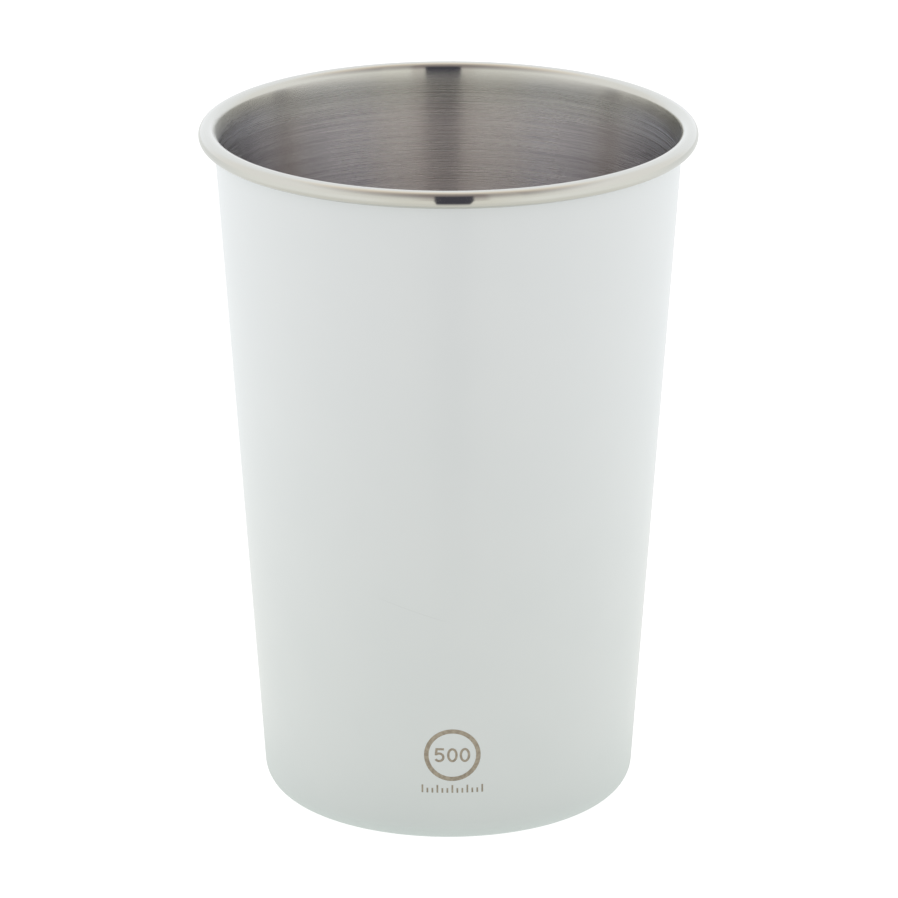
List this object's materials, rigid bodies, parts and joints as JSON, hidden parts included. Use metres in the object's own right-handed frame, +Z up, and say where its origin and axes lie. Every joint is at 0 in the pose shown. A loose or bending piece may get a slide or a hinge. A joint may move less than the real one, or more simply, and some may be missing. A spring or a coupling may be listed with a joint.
{
  "type": "cup",
  "caption": "Tall round steel drinking cup without a handle, with a rolled rim, a bare inside and a satin coat outside, for holding a drink.",
  "frame": {"origin": "centre of the surface that the cup stands on", "axes": "+Z up along the cup's axis, towards the mouth; the cup is round, and its small mark faces -Y"},
  "size_m": [0.088, 0.088, 0.123],
  "materials": {
    "steel": "brushed round inside, polished on the rolled rim",
    "coat": "white satin powder coat"
  },
  "bodies": {
    "root": {"steel_shell": "steel", "powder_coat": "coat"}
  },
  "joints": []
}
